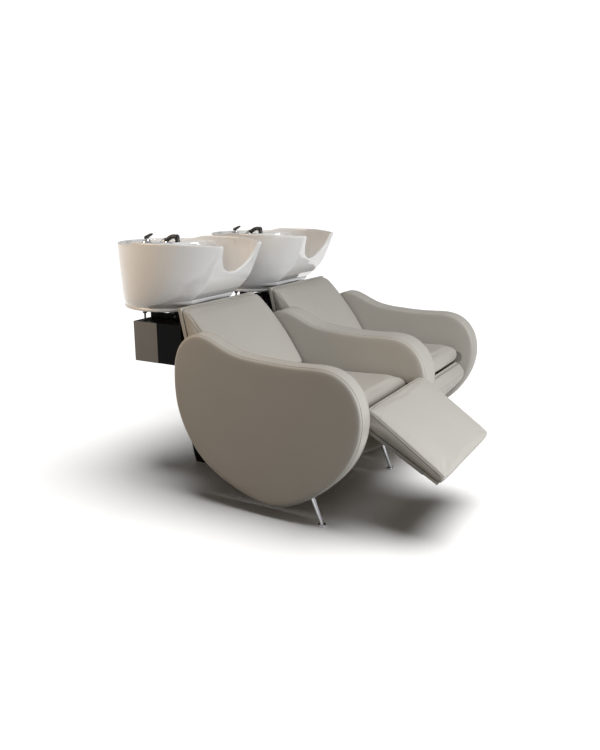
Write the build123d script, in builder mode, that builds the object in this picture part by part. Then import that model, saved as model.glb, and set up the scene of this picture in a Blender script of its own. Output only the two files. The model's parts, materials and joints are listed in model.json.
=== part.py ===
from build123d import *
from math import cos, radians, sin, tan
import os

os.makedirs("parts", exist_ok=True)

# Two-place hair washing unit: feet towards -Y, basins towards +Y, seats side by side along X.
# Lengths are millimetres. "Ahead" is measured from the rear edge of the side panels to the feet.

# Overall arrangement
seat_inner_width = 540
outer_panel_thickness = 78
middle_panel_thickness = 126
panel_depth = 791
panel_height = 618
panel_floor_gap = 46
seat_pitch = seat_inner_width + middle_panel_thickness
seat_centres = {"left": -seat_pitch / 2, "right": seat_pitch / 2}
panel_side = seat_inner_width / 2

# Fits and gaps
soft_gap = 0.3
turning_gap = 0.05
overrun = 20

# Side panels
panel_pad_thickness = 14
panel_band_thickness = 14
panel_pad_inset = 5
panel_pad_round = 9
panel_curve_steps = 32
half_turn_share = 0.5
panel_outline_shares = [
    (0, 0.70),
    (0.045, 0.925),
    (0.132, 0.997),
    (0.314, 0.927),
    (0.502, 0.888),
    (0.693, 0.882),
    (0.880, 0.864),
    (0.955, 0.788),
    (1, 0.62),
    (0.976, 0.438),
    (0.875, 0.233),
    (0.726, 0.082),
    (0.546, 0),
    (0.362, 0.053),
    (0.192, 0.165),
    (0.068, 0.351),
    (0.005, 0.581),
]

# Seat boards and the leg rests' pivots
seat_board_underside = 350
seat_board_thickness = 15
seat_board_side_gap = 18
seat_board_pivot_gap = 30
seat_board_rear_ahead = 150
pivot_setback = 81
pivot_rise = 37
pivot_ahead = panel_depth - pivot_setback
pivot_height = seat_board_underside + pivot_rise
seat_board_front_ahead = pivot_ahead - seat_board_pivot_gap

# Leg rests
leg_rest_angle = 34.6
leg_rest_swing = 100
leg_rest_length = 368
leg_rest_top = 100
leg_rest_root_underside = 16
leg_rest_tip_underside = 49
leg_rest_board_thickness = 12
leg_rest_board_start = 14
leg_rest_board_setback = 10
leg_rest_side_gap = 6
leg_rest_pad_start = 6
leg_rest_root_round = 34
leg_rest_tip_round = 8
leg_rest_crown = 5
leg_rest_bow = 2
leg_rest_drawn_in = 4
hinge_pin_radius = 6
hinge_pin_end_gap = 1
hinge_plate_radius = 28
hinge_plate_thickness = 5
arm_thickness = 5
arm_gap = 1.7
arm_eye_radius = 16
arm_reach = 300
arm_heel = 40

# Seat cushions
seat_cushion_side_gap = 17
seat_roll_lead = 14
seat_roll_depth = 36
seat_front_thickness = 76.7
seat_rear_thickness = 52.7
seat_cushion_rear_ahead = 120
seat_top_bow = 3
seat_crown = 5
seat_drawn_in = 5
seat_roll_ahead = pivot_ahead + seat_roll_lead
seat_roll_start_ahead = seat_roll_ahead - seat_roll_depth
seat_cushion_bottom = seat_board_underside + seat_board_thickness + soft_gap
seat_front_height = seat_cushion_bottom + seat_front_thickness
seat_rear_height = seat_cushion_bottom + seat_rear_thickness

# Service housing behind the backrests; the drains' distance places it and the basins
drain_behind = 200
housing_front_reach = 145
housing_rear_reach = 95
housing_front_behind = drain_behind - housing_front_reach
housing_rear_behind = drain_behind + housing_rear_reach
housing_overhang = 223
housing_half_width = seat_pitch / 2 + housing_overhang
housing_bottom = 494
housing_height = 165
housing_top = housing_bottom + housing_height
housing_sheet = 2
end_cover_depth = 120
pipe_hole_gap = 0.02
screw_head_radius = 5
screw_head_height = 2.5
screw_shank_radius = 2.2
screw_hole_gap = 0.2
screw_edge_distance = 12
screws_per_row = 6

# Basins
basin_clearance = 39
basin_height = 282
basin_bottom = housing_top + basin_clearance
basin_rim_height = basin_bottom + basin_height
basin_foot_thickness = 12
basin_half_width = 253
basin_front_reach = 304
basin_rear_reach = 288
basin_front_behind = drain_behind - basin_front_reach
basin_rear_behind = drain_behind + basin_rear_reach
basin_wall = 11
bowl_floor_thickness = 24
bowl_rear_reach = 108
bowl_rear_behind = drain_behind + bowl_rear_reach
rim_front_drop = 10
rim_side_drop = 2
rim_rear_drop = 14
rim_step = 40
deck_sink = 8
deck_height = basin_rim_height - rim_rear_drop - deck_sink
deck_thickness = 13
notch_half_share = 0.5
notch_depth_share = 0.40
notch_half_width = notch_half_share * basin_half_width
notch_depth = notch_depth_share * basin_height
widest_share = 0.40
rear_side_share = 0.77
rear_half_share = 0.66
basin_level_shares = [
    (0, 0.36, 0.965, 0.82, 0.50),
    (0.20, 0.23, 0.972, 0.90, 0.60),
    (0.41, 0.13, 0.98, 0.95, 0.59),
    (0.655, 0.068, 0.99, 0.98, 0.58),
    (1, 0, 1, 1, 0.575),
]

# Backrests, between the seat cushions and the basins' undersides
backrest_side_gap = 8
backrest_seat_gap = 22
backrest_top_rise = 39
backrest_bottom_height = seat_rear_height + backrest_seat_gap
backrest_top_height = basin_bottom + backrest_top_rise
backrest_top_front_ahead = 5
backrest_bottom_front_ahead = 239
backrest_top_rear_behind = 33
backrest_bottom_rear_ahead = 37
backrest_board_thickness = 14
backrest_bow = 16
backrest_crown = 5
backrest_drawn_in = 4
backrest_bracket_spacing = 240
backrest_bracket_thickness = 8
backrest_bracket_depth = 28
backrest_bracket_foot_gap = 6
backrest_bracket_foot_length = 75
backrest_bracket_top_drop = 87
backrest_bracket_top_height = backrest_top_height - backrest_bracket_top_drop

# Column between floor and service housing
column_seat_gap = 10
column_half_width = seat_pitch / 2 + column_seat_gap
column_floor_front_ahead = 115
column_floor_rear_behind = 166
column_top_front_inset = 7
column_top_rear_inset = 15
column_top_front_behind = housing_front_behind + column_top_front_inset
column_top_rear_behind = housing_rear_behind - column_top_rear_inset
sheet = 3
base_plate_thickness = 10
anchor_edge_side = 63
anchor_edge_end = 40.5
anchor_spacing_x = 2 * (column_half_width - anchor_edge_side)
anchor_spacing_y = column_floor_front_ahead + column_floor_rear_behind - 2 * anchor_edge_end
anchor_radius = 6

# Seat frames
cross_tube_size = 40
cross_tube_wall = 2.5
front_tube_setback = 60
rear_tube_lead = 30
front_tube_ahead = seat_board_front_ahead - front_tube_setback
rear_tube_ahead = seat_board_rear_ahead + rear_tube_lead
rail_thickness = 12
rail_height = 40
rail_inner_place = 140
rail_edge_gap = 25
rail_outer_place = column_half_width - rail_edge_gap

# Plumbing
waste_radius = 20
waste_run_radius = 22
waste_run_rise = 26
waste_run_height = housing_bottom + waste_run_rise
waste_wall = 2.5
waste_rise_behind = 110
waste_socket_radius = 25
waste_socket_height = 30
waste_bend = 45
pipe_end_height = 15
pipe_knee_low = 90
pipe_knee_drop = 34
pipe_knee_high = housing_bottom - pipe_knee_drop
trap_radius = 34
trap_wall = 3
trap_drop = 19
trap_top = housing_top - trap_drop
trap_tail_radius = 16
trap_tail_length = 20
water_radius = 8
water_run_radius = 9
water_bend = 30
water_place = 55
water_run_drop = 59
water_run_height = housing_top - water_run_drop
hot_floor_lead = 50
cold_floor_setback = 25
hot_top_inset = 40
cold_top_inset = 37
hot_floor_behind = waste_rise_behind - hot_floor_lead
cold_floor_behind = waste_rise_behind + cold_floor_setback
hot_top_behind = housing_front_behind + hot_top_inset
cold_top_behind = housing_rear_behind - cold_top_inset
floor_opening_gap = 12
floor_opening_half_width = water_place + water_radius + floor_opening_gap
floor_opening_front_behind = hot_floor_behind - water_radius - floor_opening_gap
floor_opening_rear_behind = cold_floor_behind + water_radius + floor_opening_gap

# Drain and strainer
drain_hole_radius = 24
drain_flange_radius = 33
drain_flange_thickness = 2.5
drain_tail_radius = 21
drain_bore_radius = 18
drain_tail_drop = 34
drain_tail_bottom = housing_top - drain_tail_drop
strainer_radius = 17
strainer_lip_radius = 25
strainer_lip_thickness = 2
strainer_depth = 18
strainer_wall = 1.5
strainer_hole_radius = 2
strainer_hole_circle = 10
strainer_holes = 8
strainer_knob_radius = 4
strainer_knob_height = 9

# Basin tilt
tilt_pin_lead = 55
tilt_pin_rise = 17
tilt_pin_behind = drain_behind - tilt_pin_lead
tilt_pin_height = housing_top + tilt_pin_rise
tilt_pin_radius = 5
carrier_half_width = 130
carrier_front_lead = 20
carrier_rear_reach = 85
carrier_thickness = 4
carrier_hole_gap = 11
carrier_front_behind = tilt_pin_behind - carrier_front_lead
carrier_rear_behind = drain_behind + carrier_rear_reach
carrier_hole_radius = drain_tail_radius + carrier_hole_gap
top_hole_gap = 10
top_hole_radius = drain_tail_radius + top_hole_gap
ear_gap = 2
ear_thickness = 5
ear_radius = 12
cheek_place = carrier_half_width + ear_gap
cheek_thickness = 6
cheek_front_lead = 15
cheek_rear_inset = 20
cheek_front_behind = tilt_pin_behind - cheek_front_lead
cheek_rear_behind = housing_rear_behind - cheek_rear_inset
cheek_over_pin = 11
cheek_top = tilt_pin_height + cheek_over_pin
cheek_foot_width = 24
cheek_foot_thickness = 4
pin_overhang = 4
stop_carrier_gap = 58
stop_place = carrier_half_width + stop_carrier_gap
stop_inset = 33
stop_behind = housing_rear_behind - stop_inset
stop_rod_radius = 4
stop_buffer_radius = 9
stop_buffer_height = 8

# Mixer and hand shower on the deck
tap_inset = 54
tap_behind = bowl_rear_behind + tap_inset
mixer_place = 40
mixer_base_radius = 22
mixer_top_radius = 17
mixer_body_height = 10
hub_radius = 15
hub_height = 6
hub_tongue_width = 6
hub_tongue_length = 8
hub_tongue_height = 13
hub_gap = 0.3
lever_pin_radius = 2.5
lever_pin_rise = 8
lever_angle = 28
lever_width = 15
lever_length = 34
lever_root_radius = 6.5
lever_tip_radius = 3.5
lever_slot_gap = 0.5
lever_slot_end_gap = 4
holder_place = 48
holder_inset = 31
holder_behind = bowl_rear_behind + holder_inset
holder_angle = 31
holder_radius = 14
holder_length = 14
holder_base_radius = 19
holder_base_thickness = 3
handle_radius = 9.5
handle_gap = 0.4
handle_straight = 37
handle_tail = 28
handle_bend_radius = 45
handle_bend_angle = 50
head_radius = 12.5
nozzle_radius = 10.5
nozzle_length = 22
nozzle_lean = 0.2

# Front legs
leg_foot_setback = 162
leg_foot_ahead = panel_depth - leg_foot_setback
leg_lean_angle = 22.5
leg_bottom_radius = 5.5
leg_top_radius = 8
leg_taper_height = 115
leg_stem_length = 45
foot_radius = 15
foot_height = 7
foot_round = 2

# The unit's middle lies over the origin: from leg rest tip to basin rear
lean_cos = cos(radians(leg_rest_angle))
lean_sin = sin(radians(leg_rest_angle))
tip_reach = (leg_rest_length - leg_rest_tip_round) * lean_cos
tip_reach += (leg_rest_top - leg_rest_tip_round) * lean_sin + leg_rest_tip_round
front_reach = pivot_ahead + tip_reach
panel_back = (front_reach - basin_rear_behind) / 2


def ahead(distance):
    """Y of a place that lies this far ahead of the side panels' rear edge."""
    return panel_back - distance


def behind(distance):
    """Y of a place that lies this far behind the side panels' rear edge."""
    return panel_back + distance


def save(piece, name):
    piece.part.label = name
    export_step(piece.part, f"parts/{name}.step")


def side_face(points, x):
    """Flat face in the plane across X, from (y, z) corners."""
    with BuildSketch(Plane.YZ.offset(x)) as face:
        with BuildLine():
            Polyline(*points, close=True)
        make_face()
    return face.sketch


# Side panels: a board, an edge band round it and a pad on each face

def panel_face(x, inset):
    """Face across X inside the panel's outline, moved inwards by the inset."""
    points = [(ahead(y * panel_depth), panel_floor_gap + z * panel_height) for y, z in panel_outline_shares]
    with BuildSketch(Plane.YZ.offset(x)) as face:
        with BuildLine():
            outline = Spline(*points, periodic=True, mode=Mode.PRIVATE)
            moved = []
            for step in range(panel_curve_steps):
                direction = outline % (step / panel_curve_steps)
                moved.append(outline @ (step / panel_curve_steps) + Vector(-direction.Y, direction.X) * inset)
            closed = Spline(*moved, periodic=True, mode=Mode.PRIVATE)
            add(closed.trim(0, half_turn_share))
            add(closed.trim(half_turn_share, 1))
        make_face()
    return face.sketch


def leg_axis(x):
    """Plane at the floor under a leg, with its normal along the leg."""
    lean = radians(leg_lean_angle)
    return Plane(origin=(x, ahead(leg_foot_ahead), 0), x_dir=(1, 0, 0), z_dir=(0, sin(lean), cos(lean)))


leg_hole_radius = leg_top_radius + soft_gap
leg_full_length = leg_taper_height + leg_stem_length
panel_places = {
    "left": (-seat_pitch / 2 - panel_side - outer_panel_thickness / 2, outer_panel_thickness),
    "middle": (0, middle_panel_thickness),
    "right": (seat_pitch / 2 + panel_side + outer_panel_thickness / 2, outer_panel_thickness),
}

for place, (middle, thickness) in panel_places.items():
    inner_thickness = thickness - 2 * panel_pad_thickness
    with BuildPart() as board:
        extrude(panel_face(middle, panel_band_thickness + soft_gap), amount=inner_thickness / 2, both=True)
        with BuildSketch(leg_axis(middle)):
            Circle(leg_hole_radius)
        extrude(amount=leg_full_length + soft_gap, mode=Mode.SUBTRACT)
    save(board, f"side_panel_board_{place}")

    with BuildPart() as cover:
        extrude(panel_face(middle, 0), amount=inner_thickness / 2, both=True)
        extrude(panel_face(middle, panel_band_thickness), amount=inner_thickness / 2, both=True, mode=Mode.SUBTRACT)
        with BuildSketch(leg_axis(middle)):
            Circle(leg_hole_radius)
        extrude(amount=leg_full_length, mode=Mode.SUBTRACT)
        for side in (-1, 1):
            inner_face = middle + side * inner_thickness / 2
            extrude(panel_face(inner_face, panel_pad_inset), amount=side * panel_pad_thickness)
        fillet(cover.faces().sort_by(Axis.X)[0].edges(), panel_pad_round)
        fillet(cover.faces().sort_by(Axis.X)[-1].edges(), panel_pad_round)
    save(cover, f"side_panel_cover_{place}")


# Front legs: a slim tapered leg under each panel, on a round foot

with BuildPart() as legs:
    for middle, thickness in panel_places.values():
        with BuildSketch(leg_axis(middle)):
            Circle(leg_bottom_radius)
        with BuildSketch(leg_axis(middle).offset(leg_taper_height)):
            Circle(leg_top_radius)
        loft()
        with BuildSketch(leg_axis(middle).offset(leg_taper_height)):
            Circle(leg_top_radius)
        extrude(amount=leg_stem_length)
    split(bisect_by=Plane.XY.offset(foot_height), keep=Keep.TOP)
save(legs, "front_legs")

with BuildPart() as feet:
    foot_rise = foot_height * tan(radians(leg_lean_angle))
    foot_middles = [(middle, ahead(leg_foot_ahead) + foot_rise) for middle, thickness in panel_places.values()]
    with BuildSketch():
        with Locations(*foot_middles):
            Circle(foot_radius)
    extrude(amount=foot_height)
    fillet(feet.faces().group_by(Axis.Z)[-1].edges(), foot_round)
save(feet, "leg_feet")


# Column: base plate on the floor, side plates, front plate and removable rear cover

def column_front(height):
    share = height / housing_bottom
    return ahead(column_floor_front_ahead) + share * (column_floor_front_ahead + column_top_front_behind)


def column_rear(height):
    share = height / housing_bottom
    return behind(column_floor_rear_behind) + share * (column_top_rear_behind - column_floor_rear_behind)


with BuildPart() as base_plate:
    with BuildSketch():
        plate_middle = (column_front(0) + column_rear(0)) / 2
        with Locations((0, plate_middle)):
            Rectangle(2 * column_half_width, column_rear(0) - column_front(0))
            with GridLocations(anchor_spacing_x, anchor_spacing_y, 2, 2):
                Circle(anchor_radius, mode=Mode.SUBTRACT)
        with Locations((0, behind((floor_opening_front_behind + floor_opening_rear_behind) / 2))):
            opening_depth = floor_opening_rear_behind - floor_opening_front_behind
            Rectangle(2 * floor_opening_half_width, opening_depth, mode=Mode.SUBTRACT)
    extrude(amount=base_plate_thickness)
save(base_plate, "column_base_plate")

low = base_plate_thickness
high = housing_bottom
with BuildPart() as side_plates:
    corners = [(column_front(low), low), (column_rear(low), low), (column_rear(high), high), (column_front(high), high)]
    for side in (-1, 1):
        extrude(side_face(corners, side * column_half_width), amount=-side * sheet)
save(side_plates, "column_side_plates")

column_inside = column_half_width - sheet
with BuildPart() as front_plate:
    corners = [(column_front(low), low), (column_front(low) + sheet, low)]
    corners += [(column_front(high) + sheet, high), (column_front(high), high)]
    extrude(side_face(corners, 0), amount=column_inside, both=True)
save(front_plate, "column_front_plate")

with BuildPart() as rear_cover:
    corners = [(column_rear(low) - sheet, low), (column_rear(low), low)]
    corners += [(column_rear(high), high), (column_rear(high) - sheet, high)]
    extrude(side_face(corners, 0), amount=column_inside, both=True)
save(rear_cover, "column_rear_cover")


# Service housing across both seats, behind the backrests

housing_middle = behind((housing_front_behind + housing_rear_behind) / 2)
housing_depth = housing_rear_behind - housing_front_behind
plate_half_width = housing_half_width - 2 * housing_sheet
wall_bottom = housing_bottom + housing_sheet
wall_top = housing_top - housing_sheet
wall_height = wall_top - wall_bottom
pipe_places = [
    (0, drain_behind, waste_radius),
    (-water_place, hot_top_behind, water_radius),
    (water_place, cold_top_behind, water_radius),
]

with BuildPart() as service_floor:
    with BuildSketch(Plane.XY.offset(housing_bottom)):
        with Locations((0, housing_middle)):
            Rectangle(2 * plate_half_width, housing_depth)
        for x, pipe_behind, radius in pipe_places:
            with Locations((x, behind(pipe_behind))):
                Circle(radius + pipe_hole_gap, mode=Mode.SUBTRACT)
    extrude(amount=housing_sheet)
save(service_floor, "service_floor")

with BuildPart() as service_top:
    with BuildSketch(Plane.XY.offset(wall_top)):
        with Locations((0, housing_middle)):
            Rectangle(2 * plate_half_width, housing_depth)
        with Locations(*[(centre, behind(drain_behind)) for centre in seat_centres.values()]):
            Circle(top_hole_radius, mode=Mode.SUBTRACT)
    extrude(amount=housing_sheet)
save(service_top, "service_top")

wall_middle = (wall_bottom + wall_top) / 2
with BuildPart() as service_front:
    with BuildSketch(Plane.XZ.offset(-behind(housing_front_behind))):
        with Locations((0, wall_middle)):
            Rectangle(2 * plate_half_width, wall_height)
    extrude(amount=-housing_sheet)
save(service_front, "service_front")

screw_step = 2 * (plate_half_width - screw_edge_distance) / (screws_per_row - 1)
screw_rise = wall_height - 2 * screw_edge_distance
with BuildPart() as service_rear_cover:
    with BuildSketch(Plane.XZ.offset(-behind(housing_rear_behind))):
        with Locations((0, wall_middle)):
            Rectangle(2 * plate_half_width, wall_height)
            with GridLocations(screw_step, screw_rise, screws_per_row, 2):
                Circle(screw_shank_radius + screw_hole_gap, mode=Mode.SUBTRACT)
    extrude(amount=housing_sheet)
save(service_rear_cover, "service_rear_cover")

with BuildPart() as cover_screws:
    with BuildSketch(Plane.XZ.offset(-behind(housing_rear_behind))):
        with Locations((0, wall_middle)):
            with GridLocations(screw_step, screw_rise, screws_per_row, 2):
                Circle(screw_head_radius)
    extrude(amount=-screw_head_height)
    with BuildSketch(Plane.XZ.offset(-behind(housing_rear_behind))):
        with Locations((0, wall_middle)):
            with GridLocations(screw_step, screw_rise, screws_per_row, 2):
                Circle(screw_shank_radius)
    extrude(amount=2 * housing_sheet)
save(cover_screws, "cover_screws")

with BuildPart() as end_plates:
    for side in (-1, 1):
        with BuildSketch(Plane.YZ.offset(side * plate_half_width)):
            with Locations((housing_middle, (housing_bottom + housing_top) / 2)):
                Rectangle(housing_depth, housing_top - housing_bottom)
        extrude(amount=side * housing_sheet)
save(end_plates, "service_end_plates")

with BuildPart() as end_covers:
    for side in (-1, 1):
        with BuildSketch(Plane.YZ.offset(side * (plate_half_width + housing_sheet))):
            with Locations((behind(housing_rear_behind - end_cover_depth / 2), (housing_bottom + housing_top) / 2)):
                Rectangle(end_cover_depth, housing_top - housing_bottom)
        extrude(amount=side * housing_sheet)
save(end_covers, "service_end_covers")


# Plumbing inside the column and the housing

def pipe_route(x, floor_behind, top_behind, top, bend):
    """Upright at the floor, leaning back with the column, upright again into the housing."""
    with BuildLine() as route:
        FilletPolyline(
            (x, behind(floor_behind), pipe_end_height),
            (x, behind(floor_behind), pipe_knee_low),
            (x, behind(top_behind), pipe_knee_high),
            (x, behind(top_behind), top),
            radius=bend,
        )
    return route.line


waste_rise = pipe_route(0, waste_rise_behind, drain_behind, waste_run_height, waste_bend)
drain_places = [(centre, behind(drain_behind)) for centre in seat_centres.values()]
with BuildPart() as waste_pipe:
    for wall, mode in ((0, Mode.ADD), (waste_wall, Mode.SUBTRACT)):
        with BuildSketch(Plane(origin=waste_rise @ 0, z_dir=waste_rise % 0)):
            Circle(waste_radius - wall)
        sweep(path=waste_rise, mode=mode)
        with BuildSketch(Plane.YZ):
            with Locations((behind(drain_behind), waste_run_height)):
                Circle(waste_run_radius - wall)
        extrude(amount=seat_pitch / 2, both=True, mode=mode)
        if mode == Mode.ADD:
            with BuildSketch(Plane.XY.offset(waste_run_height)):
                with Locations(*drain_places):
                    Circle(waste_socket_radius)
            extrude(amount=waste_socket_height)
    with BuildSketch(Plane.XY.offset(waste_run_height)):
        with Locations(*drain_places):
            Circle(trap_tail_radius + soft_gap)
    extrude(amount=waste_socket_height, mode=Mode.SUBTRACT)
save(waste_pipe, "waste_pipe")

trap_bottom = waste_run_height + waste_socket_height
with BuildPart() as waste_traps:
    with BuildSketch(Plane.XY.offset(trap_bottom)):
        with Locations(*drain_places):
            Circle(trap_radius)
    extrude(amount=trap_top - trap_bottom)
    with BuildSketch(Plane.XY.offset(trap_bottom + trap_wall)):
        with Locations(*drain_places):
            Circle(trap_radius - trap_wall)
    extrude(amount=trap_top - trap_bottom, mode=Mode.SUBTRACT)
    with BuildSketch(Plane.XY.offset(trap_bottom)):
        with Locations(*drain_places):
            Circle(trap_tail_radius)
    extrude(amount=-trap_tail_length)
    with BuildSketch(Plane.XY.offset(trap_bottom - trap_tail_length)):
        with Locations(*drain_places):
            Circle(trap_tail_radius - trap_wall)
    extrude(amount=trap_tail_length + trap_wall, mode=Mode.SUBTRACT)
save(waste_traps, "waste_traps")

hot_rise = pipe_route(-water_place, hot_floor_behind, hot_top_behind, water_run_height, water_bend)
cold_rise = pipe_route(water_place, cold_floor_behind, cold_top_behind, water_run_height, water_bend)
with BuildPart() as water_pipes:
    for rise, top_behind in ((hot_rise, hot_top_behind), (cold_rise, cold_top_behind)):
        with BuildSketch(Plane(origin=rise @ 0, z_dir=rise % 0)):
            Circle(water_radius)
        sweep(path=rise)
        with BuildSketch(Plane.YZ):
            with Locations((behind(top_behind), water_run_height)):
                Circle(water_run_radius)
        extrude(amount=seat_pitch / 2, both=True)
save(water_pipes, "water_pipes")


# Seat frames: two cross tubes between the panels and two rails back to the column

with BuildPart() as cross_tubes:
    for centre in seat_centres.values():
        for tube_ahead in (front_tube_ahead, rear_tube_ahead):
            with BuildSketch(Plane.YZ.offset(centre)):
                with Locations((ahead(tube_ahead), seat_board_underside - cross_tube_size / 2)):
                    Rectangle(cross_tube_size, cross_tube_size)
                    hollow = cross_tube_size - 2 * cross_tube_wall
                    Rectangle(hollow, hollow, mode=Mode.SUBTRACT)
            extrude(amount=panel_side, both=True)
save(cross_tubes, "seat_cross_tubes")

rail_top = seat_board_underside - cross_tube_size
rail_bottom = rail_top - rail_height
rail_front = ahead(front_tube_ahead) - cross_tube_size / 2
with BuildPart() as rails:
    corners = [(rail_front, rail_top), (rail_front + cross_tube_size, rail_bottom)]
    corners += [(column_front(rail_bottom), rail_bottom), (column_front(rail_top), rail_top)]
    for facing in (-1, 1):
        for rail_place in (rail_inner_place, rail_outer_place):
            extrude(side_face(corners, facing * rail_place), amount=rail_thickness / 2, both=True)
save(rails, "seat_rails")

board_middle_ahead = (seat_board_front_ahead + seat_board_rear_ahead) / 2
board_depth = seat_board_front_ahead - seat_board_rear_ahead
with BuildPart() as seat_boards:
    with BuildSketch(Plane.XY.offset(seat_board_underside)):
        with Locations(*[(centre, ahead(board_middle_ahead)) for centre in seat_centres.values()]):
            Rectangle(2 * (panel_side - seat_board_side_gap), board_depth)
    extrude(amount=seat_board_thickness)
save(seat_boards, "seat_boards")


# Seat cushions: rolled over at the front, crowned across, drawn in at the sides

cushion_stations_shares = (-1, -0.86, -0.45, 0.45, 0.86, 1)
cushion_swell_shares = (0, 0.75, 1, 1, 0.75, 0)


def seat_section(x, swell):
    rise = swell * seat_crown
    inset = (1 - swell) * seat_drawn_in
    front = seat_roll_ahead - inset
    start = seat_roll_start_ahead - inset
    rear = seat_cushion_rear_ahead + inset
    top_front = seat_front_height - inset + rise
    top_rear = seat_rear_height - inset + rise
    top_middle = (top_front + top_rear) / 2 + seat_top_bow
    with BuildSketch(Plane.YZ.offset(x)) as section:
        with BuildLine():
            low_rear = (ahead(rear), seat_cushion_bottom)
            low_front = (ahead(start), seat_cushion_bottom)
            high_front = (ahead(start), top_front)
            high_rear = (ahead(rear), top_rear)
            roll_middle = (seat_cushion_bottom + seat_front_height) / 2
            Line(low_rear, low_front)
            ThreePointArc(low_front, (ahead(front), roll_middle), high_front)
            ThreePointArc(high_front, (ahead((start + rear) / 2), top_middle), high_rear)
            Line(high_rear, low_rear)
        make_face()
    return section.sketch


def cushion_sections(section_at, centre, half_width):
    stations = zip(cushion_stations_shares, cushion_swell_shares)
    return [section_at(centre + share * half_width, swell) for share, swell in stations]


for side, centre in seat_centres.items():
    with BuildPart() as seat_cushion:
        loft(cushion_sections(seat_section, centre, panel_side - seat_cushion_side_gap))
    save(seat_cushion, f"seat_cushion_{side}")


# Backrests: a raked cushion on a board, held by two brackets on the rear cross tube

backrest_height = backrest_top_height - backrest_bottom_height


def board_rear(height):
    """Y of the rear face of the backrest board at a height."""
    share = (height - backrest_bottom_height) / backrest_height
    fall = backrest_bottom_rear_ahead + backrest_top_rear_behind
    return ahead(backrest_bottom_rear_ahead) + share * fall


def backrest_section(x, swell):
    inset = (1 - swell) * backrest_drawn_in
    push = swell * backrest_crown - inset
    top = backrest_top_height - inset
    bottom = backrest_bottom_height + inset
    board_front = backrest_board_thickness + soft_gap
    middle_height = (top + bottom) / 2
    middle_ahead = (backrest_top_front_ahead + backrest_bottom_front_ahead) / 2
    bow = (backrest_bow + push) * lean_cos
    with BuildSketch(Plane.YZ.offset(x)) as section:
        with BuildLine():
            high_rear = (board_rear(top) - board_front, top)
            high_front = (ahead(backrest_top_front_ahead), top - inset)
            low_front = (ahead(backrest_bottom_front_ahead - inset), bottom)
            low_rear = (board_rear(bottom) - board_front, bottom)
            Line(low_rear, high_rear)
            Line(high_rear, high_front)
            ThreePointArc(high_front, (ahead(middle_ahead + bow), middle_height + bow), low_front)
            Line(low_front, low_rear)
        make_face()
    return section.sketch


backrest_half_width = panel_side - backrest_side_gap
for side, centre in seat_centres.items():
    with BuildPart() as backrest_cushion:
        loft(cushion_sections(backrest_section, centre, backrest_half_width))
    save(backrest_cushion, f"backrest_cushion_{side}")

with BuildPart() as backrest_boards:
    high = backrest_top_height
    low = backrest_bottom_height
    corners = [(board_rear(high), high), (board_rear(high) - backrest_board_thickness, high)]
    corners += [(board_rear(low) - backrest_board_thickness, low), (board_rear(low), low)]
    for centre in seat_centres.values():
        extrude(side_face(corners, centre), amount=backrest_half_width, both=True)
save(backrest_boards, "backrest_boards")

with BuildPart() as backrest_brackets:
    tube_rear = ahead(rear_tube_ahead) + cross_tube_size / 2
    tube_low = seat_board_underside - cross_tube_size
    foot_top = seat_board_underside - backrest_bracket_foot_gap
    foot_rear = tube_rear + backrest_bracket_foot_length
    low = backrest_bottom_height
    high = backrest_bracket_top_height
    corners = [(tube_rear, tube_low), (tube_rear, foot_top), (foot_rear, foot_top)]
    corners += [(board_rear(low), low), (board_rear(high), high)]
    corners += [(board_rear(high) + backrest_bracket_depth, high), (board_rear(low) + backrest_bracket_depth, low)]
    corners += [(foot_rear + backrest_bracket_depth, tube_low)]
    for centre in seat_centres.values():
        for side in (-1, 1):
            place = centre + side * backrest_bracket_spacing / 2
            extrude(side_face(corners, place), amount=backrest_bracket_thickness / 2, both=True)
save(backrest_brackets, "backrest_brackets")


# Leg rests: the left one raised, the right one folded under its seat

def leg_rest_plane(x, turn):
    """Side plane at the pivot: its x runs along the leg rest, its y towards the padded face."""
    angle = radians(180 + leg_rest_angle + turn)
    origin = (x, ahead(pivot_ahead), pivot_height)
    return Plane(origin=origin, x_dir=(0, cos(angle), sin(angle)), z_dir=(-1, 0, 0))


def underside(along):
    share = along / leg_rest_length
    return leg_rest_root_underside + share * (leg_rest_tip_underside - leg_rest_root_underside)


def leg_rest_section(x, turn, swell):
    inset = (1 - swell) * leg_rest_drawn_in
    start = leg_rest_pad_start
    end = leg_rest_length - inset
    top = leg_rest_top - inset
    low_start = underside(start) + leg_rest_board_thickness + soft_gap
    low_end = underside(end) + leg_rest_board_thickness + soft_gap
    root_round = leg_rest_root_round
    tip_round = leg_rest_tip_round
    bulge = 1 - cos(radians(45))
    with BuildSketch(leg_rest_plane(x, turn)) as section:
        with BuildLine():
            root_high = (start, top - root_round)
            root_top = (start + root_round, top)
            root_middle = (start + bulge * root_round, top - bulge * root_round)
            tip_top = (end - tip_round, top)
            tip_side = (end, top - tip_round)
            tip_middle = (end - bulge * tip_round, top - bulge * tip_round)
            crown_height = top + leg_rest_bow + swell * leg_rest_crown
            Line((start, low_start), root_high)
            ThreePointArc(root_high, root_middle, root_top)
            ThreePointArc(root_top, ((root_top[0] + tip_top[0]) / 2, crown_height), tip_top)
            ThreePointArc(tip_top, tip_middle, tip_side)
            Line(tip_side, (end, low_end))
            Line((end, low_end), (start, low_start))
        make_face()
    return section.sketch


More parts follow.
